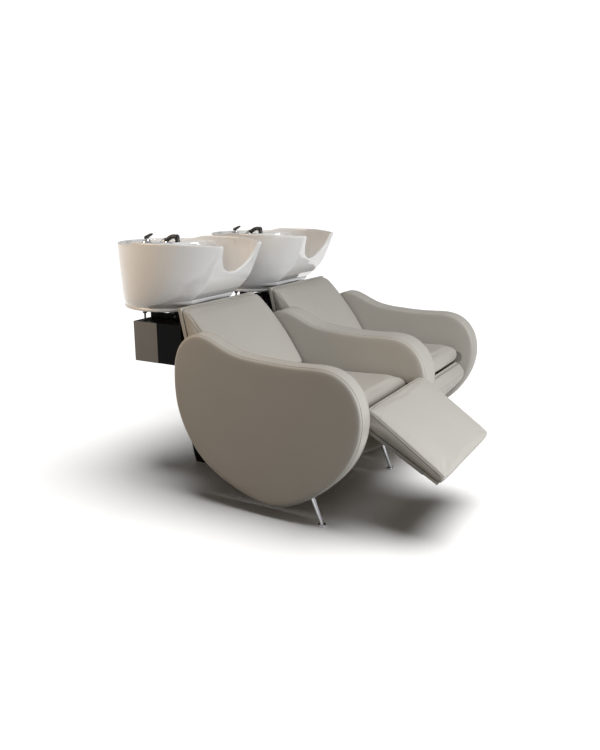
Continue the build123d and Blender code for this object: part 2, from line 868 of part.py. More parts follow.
leg_rest_turns = {"left": 0, "right": leg_rest_swing}
arm_inner = panel_side - hinge_plate_thickness - arm_gap - arm_thickness
for side, centre in seat_centres.items():
    turn = leg_rest_turns[side]
    pad_half_width = panel_side - leg_rest_side_gap
    stations = zip(cushion_stations_shares, cushion_swell_shares)
    sections = [leg_rest_section(centre + share * pad_half_width, turn, swell) for share, swell in stations]
    with BuildPart() as leg_rest_pad:
        loft(sections)
    save(leg_rest_pad, f"leg_rest_pad_{side}")

    with BuildPart() as leg_rest_board:
        board_end = leg_rest_length - leg_rest_board_setback
        with BuildSketch(leg_rest_plane(centre, turn)):
            with BuildLine():
                start_low = (leg_rest_board_start, underside(leg_rest_board_start))
                end_low = (board_end, underside(board_end))
                end_high = (board_end, underside(board_end) + leg_rest_board_thickness)
                start_high = (leg_rest_board_start, underside(leg_rest_board_start) + leg_rest_board_thickness)
                Polyline(start_low, end_low, end_high, start_high, close=True)
            make_face()
        extrude(amount=arm_inner, both=True)
    save(leg_rest_board, f"leg_rest_board_{side}")

    with BuildPart() as leg_rest_arms:
        for hand in (-1, 1):
            with BuildSketch(leg_rest_plane(centre + hand * (arm_inner + arm_thickness / 2), turn)):
                with BuildLine():
                    arm_high = leg_rest_board_thickness
                    Polyline(
                        (0, -arm_eye_radius),
                        (arm_heel, underside(arm_heel)),
                        (arm_reach, underside(arm_reach)),
                        (arm_reach, underside(arm_reach) + arm_high),
                        (leg_rest_board_start, underside(leg_rest_board_start) + arm_high),
                        (0, arm_eye_radius),
                        close=True,
                    )
                make_face()
                Circle(arm_eye_radius)
                Circle(hinge_pin_radius + turning_gap, mode=Mode.SUBTRACT)
            extrude(amount=arm_thickness / 2, both=True)
    save(leg_rest_arms, f"leg_rest_arms_{side}")

with BuildPart() as hinge_brackets:
    for centre in seat_centres.values():
        for hand in (-1, 1):
            panel_face_place = centre + hand * panel_side
            pin_length = hinge_plate_thickness + arm_gap + arm_thickness + hinge_pin_end_gap
            with BuildSketch(Plane.YZ.offset(panel_face_place)):
                with Locations((ahead(pivot_ahead), pivot_height)):
                    Circle(hinge_plate_radius)
            extrude(amount=-hand * hinge_plate_thickness)
            with BuildSketch(Plane.YZ.offset(panel_face_place)):
                with Locations((ahead(pivot_ahead), pivot_height)):
                    Circle(hinge_pin_radius)
            extrude(amount=-hand * pin_length)
save(hinge_brackets, "hinge_brackets")


# Basins: glazed bowl with a raked front, a neck notch and a lower deck for the taps

basin_length = basin_rear_behind - basin_front_behind
loft_bottom = basin_bottom + basin_foot_thickness
loft_height = basin_rim_height - loft_bottom


def basin_outline(centre, height, front, widest, rear, half_width, corner_half):
    """Closed outline: straight front, sides bowed to the widest place and a round rear."""
    rear_side = widest + rear_side_share * (rear - widest)
    rear_half = rear_half_share * half_width
    with BuildSketch(Plane.XY.offset(height)) as outline:
        with BuildLine():
            Line((centre - corner_half, front), (centre + corner_half, front))
            for hand in (-1, 1):
                side = (centre + hand * half_width, widest)
                TangentArc(side, (centre + hand * corner_half, front), tangent=(0, -1))
                TangentArc(side, (centre + hand * rear_half, rear_side), tangent=(0, 1))
            ThreePointArc((centre + rear_half, rear_side), (centre, rear), (centre - rear_half, rear_side))
        make_face()
    return outline.sketch


def basin_levels(centre, inset, rear_inset):
    """Outlines from the foot to the rim, moved inwards by the insets."""
    sections = []
    for rise, front, rear, width, corner in basin_level_shares:
        front_y = behind(basin_front_behind + front * basin_length)
        rear_y = behind(basin_front_behind + rear * basin_length)
        widest = front_y + widest_share * (rear_y - front_y)
        half = width * basin_half_width - inset
        corner_half = corner * basin_half_width - inset / 2
        level = loft_bottom + rise * loft_height
        sections.append(
            basin_outline(centre, level, front_y + inset, widest, rear_y - rear_inset, half, corner_half)
        )
    return sections


bowl_rear_inset = basin_rear_behind - bowl_rear_behind
notch_radius = (notch_half_width**2 + notch_depth**2) / (2 * notch_depth)
holder_cos = cos(radians(holder_angle))
holder_sin = sin(radians(holder_angle))


def holder_plane(centre):
    """Plane on the deck at the hand shower's holder, facing along the handle."""
    origin = (centre + holder_place, behind(holder_behind), deck_height)
    return Plane(origin=origin, x_dir=(1, 0, 0), z_dir=(0, -holder_cos, holder_sin))


def make_basin(centre):
    with BuildPart() as rim_hollow:
        loft(basin_levels(centre, basin_wall, basin_wall))
        split(bisect_by=Plane.XY.offset(deck_height), keep=Keep.TOP)
    with BuildPart() as bowl_hollow:
        loft(basin_levels(centre, basin_wall, bowl_rear_inset))
        split(bisect_by=Plane.XY.offset(basin_bottom + bowl_floor_thickness), keep=Keep.TOP)
    with BuildPart() as deck_hollow:
        loft(basin_levels(centre, basin_wall, basin_wall))
        with BuildSketch(Plane.XY.offset(loft_bottom)):
            foot_hollow = basin_levels(centre, basin_wall, basin_wall)[0]
            add(foot_hollow)
        extrude(amount=-basin_foot_thickness - overrun)
        split(bisect_by=Plane.XY.offset(deck_height - deck_thickness), keep=Keep.BOTTOM)
        split(bisect_by=Plane.XZ.offset(-behind(bowl_rear_behind + basin_wall)), keep=Keep.BOTTOM)
    with BuildPart() as basin:
        loft(basin_levels(centre, 0, 0))
        extrude(basin_levels(centre, 0, 0)[0], amount=-basin_foot_thickness)
        add(rim_hollow.part, mode=Mode.SUBTRACT)
        add(bowl_hollow.part, mode=Mode.SUBTRACT)
        add(deck_hollow.part, mode=Mode.SUBTRACT)
        # The rim dips to the front corners and steps down a little beside the deck
        front = behind(basin_front_behind)
        over = basin_rim_height + overrun
        rim = [
            (front - overrun, over),
            (front - overrun, basin_rim_height - rim_front_drop),
            (front, basin_rim_height - rim_front_drop),
            (front + basin_length / 4, basin_rim_height - rim_side_drop),
            (behind(bowl_rear_behind) - rim_step, basin_rim_height - rim_side_drop),
            (behind(bowl_rear_behind), basin_rim_height - rim_rear_drop),
            (behind(basin_rear_behind) + overrun, basin_rim_height - rim_rear_drop),
            (behind(basin_rear_behind) + overrun, over),
        ]
        extrude(side_face(rim, centre), amount=basin_half_width + overrun, both=True, mode=Mode.SUBTRACT)
        # Round neck notch through the raked front
        with BuildSketch(Plane.XZ.offset(-front + overrun)):
            with Locations((centre, basin_rim_height - notch_depth - rim_front_drop + notch_radius)):
                Circle(notch_radius)
        extrude(amount=-(overrun + basin_length / 3), mode=Mode.SUBTRACT)
        with BuildSketch(Plane.XY.offset(basin_bottom)):
            with Locations((centre, behind(drain_behind))):
                Circle(drain_hole_radius)
        extrude(amount=bowl_floor_thickness + overrun, mode=Mode.SUBTRACT)
        with BuildSketch(holder_plane(centre)):
            Circle(handle_radius + handle_gap)
        extrude(amount=3 * deck_thickness, both=True, mode=Mode.SUBTRACT)
    return basin


def make_drain(centre):
    flange_bottom = basin_bottom + bowl_floor_thickness
    flange_top = flange_bottom + drain_flange_thickness
    with BuildPart() as drain:
        with BuildSketch(Plane.XZ.offset(-behind(drain_behind))):
            with BuildLine():
                Polyline(
                    (centre + drain_bore_radius, flange_top),
                    (centre + drain_flange_radius, flange_top),
                    (centre + drain_flange_radius, flange_bottom),
                    (centre + drain_tail_radius, flange_bottom),
                    (centre + drain_tail_radius, drain_tail_bottom),
                    (centre + drain_bore_radius, drain_tail_bottom),
                    close=True,
                )
            make_face()
        revolve(axis=Axis((centre, behind(drain_behind), 0), (0, 0, 1)))
    return drain


def make_strainer(centre):
    lip_bottom = basin_bottom + bowl_floor_thickness + drain_flange_thickness
    with BuildPart() as strainer:
        with BuildSketch(Plane.XY.offset(lip_bottom)):
            with Locations((centre, behind(drain_behind))):
                Circle(strainer_lip_radius)
        extrude(amount=strainer_lip_thickness)
        with BuildSketch(Plane.XY.offset(lip_bottom)):
            with Locations((centre, behind(drain_behind))):
                Circle(strainer_radius)
        extrude(amount=-strainer_depth)
        with BuildSketch(Plane.XY.offset(lip_bottom + strainer_lip_thickness)):
            with Locations((centre, behind(drain_behind))):
                Circle(strainer_radius - strainer_wall)
        extrude(amount=-strainer_depth - strainer_lip_thickness + strainer_wall, mode=Mode.SUBTRACT)
        with BuildSketch(Plane.XY.offset(lip_bottom - strainer_depth)):
            with Locations((centre, behind(drain_behind))):
                Circle(strainer_knob_radius)
        extrude(amount=strainer_depth + strainer_knob_height)
        with BuildSketch(Plane.XY.offset(lip_bottom - strainer_depth)):
            with Locations((centre, behind(drain_behind))):
                with PolarLocations(strainer_hole_circle, strainer_holes):
                    Circle(strainer_hole_radius)
        extrude(amount=strainer_wall, mode=Mode.SUBTRACT)
    return strainer


# Tilt: each basin stands on a carrier that turns on a pin between two cheeks

def make_carrier(centre):
    top = basin_bottom
    bottom = top - carrier_thickness
    middle = behind((carrier_front_behind + carrier_rear_behind) / 2)
    with BuildPart() as carrier:
        with BuildSketch(Plane.XY.offset(bottom)):
            with Locations((centre, middle)):
                Rectangle(2 * carrier_half_width, carrier_rear_behind - carrier_front_behind)
            with Locations((centre, behind(drain_behind))):
                Circle(carrier_hole_radius, mode=Mode.SUBTRACT)
        extrude(amount=carrier_thickness)
        for hand in (-1, 1):
            ear_outer = centre + hand * (cheek_place - ear_gap)
            with BuildSketch(Plane.YZ.offset(ear_outer)):
                with Locations((behind(tilt_pin_behind), tilt_pin_height)):
                    Circle(ear_radius)
                with Locations((behind(tilt_pin_behind), (tilt_pin_height + bottom) / 2)):
                    Rectangle(2 * ear_radius, bottom - tilt_pin_height)
                with Locations((behind(tilt_pin_behind), tilt_pin_height)):
                    Circle(tilt_pin_radius + turning_gap, mode=Mode.SUBTRACT)
            extrude(amount=-hand * ear_thickness)
    return carrier


with BuildPart() as tilt_cheeks:
    front = behind(cheek_front_behind)
    rear = behind(cheek_rear_behind)
    for centre in seat_centres.values():
        for hand in (-1, 1):
            inner = centre + hand * cheek_place
            with BuildSketch(Plane.YZ.offset(inner)):
                with Locations(((front + rear) / 2, (housing_top + cheek_top) / 2)):
                    Rectangle(rear - front, cheek_top - housing_top)
                with Locations((behind(tilt_pin_behind), tilt_pin_height)):
                    Circle(tilt_pin_radius + turning_gap, mode=Mode.SUBTRACT)
            extrude(amount=hand * cheek_thickness)
            with BuildSketch(Plane.XY.offset(housing_top)):
                with Locations((inner + hand * (cheek_thickness + cheek_foot_width / 2), (front + rear) / 2)):
                    Rectangle(cheek_foot_width, rear - front)
            extrude(amount=cheek_foot_thickness)
save(tilt_cheeks, "tilt_cheeks")

with BuildPart() as tilt_pins:
    for centre in seat_centres.values():
        with BuildSketch(Plane.YZ.offset(centre)):
            with Locations((behind(tilt_pin_behind), tilt_pin_height)):
                Circle(tilt_pin_radius)
        extrude(amount=cheek_place + cheek_thickness + pin_overhang, both=True)
save(tilt_pins, "tilt_pins")

with BuildPart() as stop_rods:
    buffer_top = basin_bottom - soft_gap
    for centre in seat_centres.values():
        places = [(centre + hand * stop_place, behind(stop_behind)) for hand in (-1, 1)]
        with BuildSketch(Plane.XY.offset(housing_top)):
            with Locations(*places):
                Circle(stop_rod_radius)
        extrude(amount=buffer_top - stop_buffer_height - housing_top)
        with BuildSketch(Plane.XY.offset(buffer_top - stop_buffer_height)):
            with Locations(*places):
                Circle(stop_buffer_radius)
        extrude(amount=stop_buffer_height)
save(stop_rods, "stop_rods")


# Mixer: fixed body, a hub that turns for warm and cold, and a slanted lever that lifts for flow

hub_bottom = deck_height + mixer_body_height + hub_gap
lever_pin_height = hub_bottom + hub_height + lever_pin_rise


def make_mixer_body(centre):
    with BuildPart() as body:
        with BuildSketch(Plane.XY.offset(deck_height)):
            with Locations((centre - mixer_place, behind(tap_behind))):
                Circle(mixer_base_radius)
        with BuildSketch(Plane.XY.offset(deck_height + mixer_body_height)):
            with Locations((centre - mixer_place, behind(tap_behind))):
                Circle(mixer_top_radius)
        loft()
    return body


def make_mixer_hub(centre):
    with BuildPart() as hub:
        with BuildSketch(Plane.XY.offset(hub_bottom)):
            with Locations((centre - mixer_place, behind(tap_behind))):
                Circle(hub_radius)
        extrude(amount=hub_height)
        with BuildSketch(Plane.XY.offset(hub_bottom + hub_height)):
            with Locations((centre - mixer_place, behind(tap_behind))):
                Rectangle(hub_tongue_width, hub_tongue_length)
        extrude(amount=hub_tongue_height)
        with BuildSketch(Plane.YZ.offset(centre - mixer_place)):
            with Locations((behind(tap_behind), lever_pin_height)):
                Circle(lever_pin_radius)
        extrude(amount=hub_tongue_width, both=True, mode=Mode.SUBTRACT)
    return hub


def make_mixer_lever(centre):
    middle = centre - mixer_place
    rise = radians(lever_angle)
    pin_place = (middle, behind(tap_behind), lever_pin_height)
    side_view = Plane(origin=pin_place, x_dir=(0, -cos(rise), sin(rise)), z_dir=(-1, 0, 0))
    tip = lever_length - lever_tip_radius
    slot_end = hub_tongue_length / 2 + lever_slot_end_gap
    with BuildPart() as lever:
        with BuildSketch(side_view):
            Circle(lever_root_radius)
            with BuildLine():
                root_low = (0, -lever_root_radius)
                root_high = (0, lever_root_radius)
                Polyline(root_low, (tip, -lever_tip_radius), (tip, lever_tip_radius), root_high, close=True)
            make_face()
            with Locations((tip, 0)):
                Circle(lever_tip_radius)
        extrude(amount=lever_width / 2, both=True)
        with BuildSketch(side_view):
            with Locations(((slot_end - lever_root_radius - overrun) / 2, 0)):
                Rectangle(slot_end + lever_root_radius + overrun, 2 * lever_root_radius + overrun)
        extrude(amount=hub_tongue_width / 2 + lever_slot_gap, both=True, mode=Mode.SUBTRACT)
        with BuildSketch(Plane.YZ.offset(middle)):
            with Locations((behind(tap_behind), lever_pin_height)):
                Circle(lever_pin_radius - turning_gap)
        extrude(amount=hub_tongue_width / 2 + 2 * lever_slot_gap, both=True)
    return lever


# Hand shower: a bent handle that stands in a slanted holder on the deck

def make_shower_holder(centre):
    with BuildPart() as holder:
        with BuildSketch(Plane.XY.offset(deck_height)):
            with Locations((centre + holder_place, behind(holder_behind))):
                Circle(holder_base_radius)
        extrude(amount=holder_base_thickness)
        with BuildSketch(holder_plane(centre)):
            Circle(holder_radius)
        extrude(amount=holder_length)
        split(bisect_by=Plane.XY.offset(deck_height), keep=Keep.TOP)
        with BuildSketch(holder_plane(centre)):
            Circle(handle_radius + handle_gap)
        extrude(amount=holder_length + overrun, both=True, mode=Mode.SUBTRACT)
    return holder


def make_hand_shower(centre):
    place = (centre + holder_place, behind(holder_behind), deck_height)
    side_view = Plane(origin=place, x_dir=(0, -1, 0), z_dir=(-1, 0, 0))
    tail = (-handle_tail * holder_cos, -handle_tail * holder_sin)
    bend = (handle_straight * holder_cos, handle_straight * holder_sin)
    with BuildPart() as hand_shower:
        with BuildLine(side_view) as handle:
            Line(tail, bend)
            JernArc(bend, (holder_cos, holder_sin), handle_bend_radius, -handle_bend_angle)
        with BuildSketch(Plane(origin=handle.line @ 0, z_dir=handle.line % 0)):
            Circle(handle_radius)
        sweep(path=handle.line)
        with Locations(handle.line @ 1):
            Sphere(head_radius)
        with BuildSketch(Plane(origin=handle.line @ 1, z_dir=(0, -nozzle_lean, -1))):
            Circle(nozzle_radius)
        extrude(amount=nozzle_length)
    return hand_shower


for side, centre in seat_centres.items():
    save(make_basin(centre), f"basin_{side}")
    save(make_drain(centre), f"drain_{side}")
    save(make_strainer(centre), f"strainer_{side}")
    save(make_carrier(centre), f"basin_carrier_{side}")
    save(make_mixer_body(centre), f"mixer_body_{side}")
    save(make_mixer_hub(centre), f"mixer_hub_{side}")
    save(make_mixer_lever(centre), f"mixer_lever_{side}")
    save(make_shower_holder(centre), f"shower_holder_{side}")
    save(make_hand_shower(centre), f"hand_shower_{side}")
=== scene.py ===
import json
import math

import bmesh
import bpy
import numpy as np
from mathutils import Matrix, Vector


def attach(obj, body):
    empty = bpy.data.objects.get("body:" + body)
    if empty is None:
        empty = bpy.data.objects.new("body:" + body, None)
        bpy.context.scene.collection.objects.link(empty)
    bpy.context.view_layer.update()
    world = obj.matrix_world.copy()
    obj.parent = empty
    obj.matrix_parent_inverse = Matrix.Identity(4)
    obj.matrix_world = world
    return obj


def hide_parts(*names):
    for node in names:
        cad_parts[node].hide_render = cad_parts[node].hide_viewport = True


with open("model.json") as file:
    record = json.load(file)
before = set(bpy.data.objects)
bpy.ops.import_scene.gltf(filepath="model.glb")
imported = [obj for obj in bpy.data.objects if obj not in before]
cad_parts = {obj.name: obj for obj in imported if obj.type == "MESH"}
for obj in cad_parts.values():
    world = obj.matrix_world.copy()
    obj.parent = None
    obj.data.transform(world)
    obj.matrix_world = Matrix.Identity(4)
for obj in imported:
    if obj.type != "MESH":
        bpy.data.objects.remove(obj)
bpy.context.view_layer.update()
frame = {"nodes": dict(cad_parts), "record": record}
nodes = frame["nodes"]
seatMiddles = {"left": -0.333, "right": 0.333}
panelBack = 0.289285  # Y of the side panels' rear edge
print("frame loaded", len(nodes), "nodes")


# Materials

fineness = 30  # how much finer the bump's noise is than the colour's
bumpDepth = 0.0003
coatRough = 0.05


def newMaterial(name):
    material = bpy.data.materials.new(name)
    material.use_nodes = True
    tree = material.node_tree
    shader = tree.nodes["Principled BSDF"]
    place = tree.nodes.new("ShaderNodeTexCoord")
    return material, tree, shader, place.outputs["Object"]


def noiseNode(tree, place, scale, detail=3.0):
    noise = tree.nodes.new("ShaderNodeTexNoise")
    noise.inputs["Scale"].default_value = scale
    noise.inputs["Detail"].default_value = detail
    tree.links.new(place, noise.inputs["Vector"])
    return noise.outputs["Fac"]


def rangeNode(tree, value, low, high):
    spread = tree.nodes.new("ShaderNodeMapRange")
    spread.inputs["To Min"].default_value = low
    spread.inputs["To Max"].default_value = high
    tree.links.new(value, spread.inputs["Value"])
    return spread.outputs["Result"]


def colourNode(tree, value, dark, light):
    mix = tree.nodes.new("ShaderNodeMix")
    mix.data_type = "RGBA"
    mix.inputs["A"].default_value = (*dark, 1)
    mix.inputs["B"].default_value = (*light, 1)
    tree.links.new(value, mix.inputs["Factor"])
    return mix.outputs["Result"]


def bumpNode(tree, shader, height, strength, distance, under=None):
    bump = tree.nodes.new("ShaderNodeBump")
    bump.inputs["Strength"].default_value = strength
    bump.inputs["Distance"].default_value = distance
    tree.links.new(height, bump.inputs["Height"])
    if under:
        tree.links.new(under, bump.inputs["Normal"])
    tree.links.new(bump.outputs["Normal"], shader.inputs["Normal"])
    return bump.outputs["Normal"]


def plainMaterial(name, dark, light, rough, scale, metallic=0.0, bump=0.0, coat=0.0, specular=0.5):
    # colour and roughness drift a little with a slow noise, and a fine noise gives the bump
    material, tree, shader, place = newMaterial(name)
    slow = noiseNode(tree, place, scale)
    tree.links.new(colourNode(tree, slow, dark, light), shader.inputs["Base Color"])
    tree.links.new(rangeNode(tree, slow, rough[0], rough[1]), shader.inputs["Roughness"])
    shader.inputs["Metallic"].default_value = metallic
    shader.inputs["Coat Weight"].default_value = coat
    shader.inputs["Coat Roughness"].default_value = coatRough
    shader.inputs["Specular IOR Level"].default_value = specular
    if bump:
        bumpNode(tree, shader, noiseNode(tree, place, scale * fineness), bump, bumpDepth)
    return material


leatherForm = {
    "drift": 5.0, "polish": 60.0, "padding": 9.0, "grain": 650.0, "specular": 0.42, "sheen": 0.08,
    "paddingBump": (0.5, 0.004), "grainBump": (0.12, 0.0006),
}


def leatherMaterial(name, dark, light, rough):
    # grain cells about 1.5 mm wide over a slow unevenness of the padding
    form = leatherForm
    material, tree, shader, place = newMaterial(name)
    slow = noiseNode(tree, place, form["drift"])
    tree.links.new(colourNode(tree, slow, dark, light), shader.inputs["Base Color"])
    polish = noiseNode(tree, place, form["polish"])
    tree.links.new(rangeNode(tree, polish, rough[0], rough[1]), shader.inputs["Roughness"])
    shader.inputs["Specular IOR Level"].default_value = form["specular"]
    shader.inputs["Sheen Weight"].default_value = form["sheen"]
    cells = tree.nodes.new("ShaderNodeTexVoronoi")
    cells.feature = "DISTANCE_TO_EDGE"
    cells.inputs["Scale"].default_value = form["grain"]
    tree.links.new(place, cells.inputs["Vector"])
    soft = bumpNode(tree, shader, noiseNode(tree, place, form["padding"]), *form["paddingBump"])
    bumpNode(tree, shader, cells.outputs["Distance"], *form["grainBump"], soft)
    return material


# each row: darker colour, lighter colour, range of roughness, scale of the drift, and what differs from plain paint
surfaces = {
    "white_glaze": ((0.93, 0.93, 0.93), (0.95, 0.95, 0.945), (0.07, 0.11), 8.0, {"coat": 0.8}),
    "black_coat": (
        (0.003, 0.003, 0.0033), (0.005, 0.005, 0.0055), (0.30, 0.40), 25.0, {"bump": 0.12, "specular": 0.06},
    ),
    "grey_coat": ((0.22, 0.215, 0.205), (0.27, 0.265, 0.255), (0.28, 0.36), 25.0, {"bump": 0.12, "specular": 0.35}),
    "chrome": ((0.52, 0.53, 0.55), (0.60, 0.61, 0.62), (0.05, 0.10), 30.0, {"metallic": 1.0}),
    "plain_steel": ((0.05, 0.05, 0.052), (0.08, 0.08, 0.082), (0.30, 0.40), 60.0, {"metallic": 1.0, "bump": 0.08}),
    "black_plastic": ((0.008, 0.008, 0.008), (0.013, 0.013, 0.013), (0.20, 0.28), 50.0, {}),
    "grey_plastic": ((0.28, 0.29, 0.30), (0.33, 0.34, 0.35), (0.40, 0.50), 30.0, {}),
    # the leather's tone as it looks in shade, for the metal parts under the seat: painted shade
    "shaded_leather_paint": ((0.24, 0.225, 0.20), (0.28, 0.26, 0.235), (0.42, 0.52), 30.0, {}),
    "rubber": ((0.018, 0.018, 0.018), (0.026, 0.026, 0.026), (0.60, 0.72), 40.0, {"bump": 0.2}),
    "plywood": ((0.40, 0.27, 0.15), (0.50, 0.36, 0.21), (0.50, 0.62), 22.0, {"bump": 0.2}),
    "pipe_metal": ((0.55, 0.30, 0.18), (0.66, 0.38, 0.24), (0.25, 0.35), 30.0, {"metallic": 1.0}),
    "pale_floor": ((0.96, 0.96, 0.96), (0.98, 0.98, 0.98), (0.55, 0.6), 3.0, {}),
}
made = {name: plainMaterial(name, *row[:4], **row[4]) for name, row in surfaces.items()}
leather = leatherMaterial("pale_leather", (0.50, 0.475, 0.43), (0.54, 0.515, 0.47), (0.40, 0.52))
piping = leatherMaterial("piping_leather", (0.53, 0.50, 0.455), (0.57, 0.54, 0.495), (0.36, 0.48))
glaze = made["white_glaze"]

slotMaterials = {
    "upholstery": leather, "upholstery_piping": piping, "glazed_white": glaze, "black_coat": made["black_coat"],
    "dark_grey_coat": made["grey_coat"], "chrome": made["chrome"], "steel": made["plain_steel"],
    "black_plastic": made["black_plastic"], "grey_plastic": made["grey_plastic"], "buffer_rubber": made["rubber"],
    "board_wood": made["plywood"], "copper_pipe": made["pipe_metal"],
}
nodeSlots = {part["node"]: part["material_slot"] for part in frame["record"]["subparts"]}
seatMetal = ("leg_rest_arms", "hinge_brackets")  # given the leather's tone as it looks in shade under the seat: painted shade
for name, piece in nodes.items():
    piece.data.materials.clear()
    painted = name.startswith(seatMetal)
    piece.data.materials.append(made["shaded_leather_paint"] if painted else slotMaterials[nodeSlots[name]])
print("materials made")


# Shared mesh helpers

def setMesh(name, points, faces, material):
    mesh = bpy.data.meshes.new(name)
    mesh.from_pydata(points.reshape(-1, 3).tolist(), [], faces)
    mesh.validate()
    mesh.materials.append(material)
    mesh.polygons.foreach_set("use_smooth", np.ones(len(mesh.polygons), dtype=bool))
    mesh.update()
    piece = bpy.data.objects.new(name, mesh)
    bpy.context.scene.collection.objects.link(piece)
    return piece


def bakedMesh(piece):
    # the piece's mesh with its modifiers applied
    graph = bpy.context.evaluated_depsgraph_get()
    return bpy.data.meshes.new_from_object(piece.evaluated_get(graph))


def applyModifiers(piece):
    mesh = bakedMesh(piece)
    piece.modifiers.clear()
    piece.data = mesh
    return mesh


def weld(mesh):
    # meeting points become one, and every face turns outwards
    whole = bmesh.new()
    whole.from_mesh(mesh)
    bmesh.ops.remove_doubles(whole, verts=whole.verts, dist=1e-6)
    bmesh.ops.recalc_face_normals(whole, faces=whole.faces)
    whole.to_mesh(mesh)
    whole.free()


def gridFaces(rows, columns, flip=False):
    # four-cornered faces between neighbouring rows, closed round the columns
    i, j = np.meshgrid(np.arange(rows - 1), np.arange(columns), indexing="ij")
    k = (j + 1) % columns
    above = i + 1
    quads = np.stack([i * columns + j, i * columns + k, above * columns + k, above * columns + j], -1)
    quads = quads.reshape(-1, 4)
    if flip:
        quads = quads[:, ::-1]
    return quads.tolist()


def ringMesh(name, rings, material, capFirst=True, capLast=True, flip=False):
    # rings is rows x columns x 3; the first and last ring can each be closed by one face
    rows, columns = rings.shape[:2]
    faces = gridFaces(rows, columns, flip)
    first = list(range(columns))
    last = [(rows - 1) * columns + j for j in range(columns)]
    if capFirst:
        faces.append(first if flip else first[::-1])
    if capLast:
        faces.append(last[::-1] if flip else last)
    return setMesh(name, rings, faces, material)


tubeReference = np.array([0.31, 0.17, 0.93])


def evened(values, rounds):
    # each round gives every point half its own place and a quarter of each neighbour's, round the closed line
    for _ in range(rounds):
        values = 0.25 * np.roll(values, 1, 0) + 0.5 * values + 0.25 * np.roll(values, -1, 0)
    return values


def tubeMesh(name, path, radius, material, closed=True, sides=8):
    # circle of the radius carried along the path, turned with its direction; the reference never lies along a path
    path = np.asarray(path, dtype=float)
    if closed:
        ahead = np.roll(path, -1, 0) - np.roll(path, 1, 0)
    else:
        ahead = np.gradient(path, axis=0)
    ahead /= np.linalg.norm(ahead, axis=1)[:, None]
    side = np.cross(ahead, tubeReference)
    side /= np.linalg.norm(side, axis=1)[:, None]
    up = np.cross(side, ahead)
    turn = np.linspace(0, 2 * np.pi, sides, endpoint=False)
    circle = np.cos(turn)[None, :, None] * side[:, None] + np.sin(turn)[None, :, None] * up[:, None]
    rings = path[:, None] + radius * circle
    if closed:
        rings = np.concatenate([rings, rings[:1]])
    tube = ringMesh(name, rings, material, not closed, not closed)
    weld(tube.data)
    return tube


def closedCurve(points, count):
    # smooth closed curve through the points: cubic pieces with matching slope and bend, by chord length
    points = np.asarray(points, dtype=float)
    n = len(points)
    steps = np.linalg.norm(np.roll(points, -1, 0) - points, axis=1)
    before = np.roll(steps, 1)
    system = np.zeros((n, n))
    index = np.arange(n)
    system[index, index] = 2 * (steps + before)
    system[index, (index + 1) % n] = steps
    system[index, (index - 1) % n] = before
    change = (np.roll(points, -1, 0) - points) / steps[:, None]
    bend = np.linalg.solve(system, 6 * (change - np.roll(change, 1, 0)))
    knots = np.concatenate([[0], np.cumsum(steps)])
    place = np.linspace(0, knots[-1], count, endpoint=False)
    k = np.minimum(np.searchsorted(knots, place, side="right") - 1, n - 1)
    h = steps[k][:, None]
    a = (knots[k + 1] - place)[:, None]
    b = (place - knots[k])[:, None]
    p, q = points[k], points[(k + 1) % n]
    m, r = bend[k], bend[(k + 1) % n]
    return m * a**3 / (6 * h) + r * b**3 / (6 * h) + (p / h - m * h / 6) * a + (q / h - r * h / 6) * b


# Side panels: puffed faces, a crowned edge band and piping along both seams

panelForm = {
    "depth": 0.791, "height": 0.618, "low": 0.046,
    "shares": [
        (0, 0.70), (0.045, 0.925), (0.132, 0.997), (0.314, 0.927), (0.502, 0.888), (0.693, 0.882),
        (0.880, 0.864), (0.955, 0.788), (1, 0.62), (0.976, 0.438), (0.875, 0.233), (0.726, 0.082),
        (0.546, 0), (0.362, 0.053), (0.192, 0.165), (0.068, 0.351), (0.005, 0.581),
    ],
    "insets": (0.0028, 0.0050, 0.0082, 0.0125, 0.019, 0.030),
    "rises": (0.0042, 0.0074, 0.0096, 0.0108, 0.0115, 0.012),
    "shrinks": (0.9, 0.75, 0.58, 0.4, 0.22, 0.06),
    "seamDepth": 0.011, "bandCrown": 0.0016, "seamInset": 0.0014, "pipe": 0.0023, "pipeSunk": 0.0002,
    "faceCrown": 0.001, "points": 260, "bandRows": 11,
}
panels = {"left": (-0.642, 0.078), "middle": (0.0, 0.126), "right": (0.642, 0.078)}


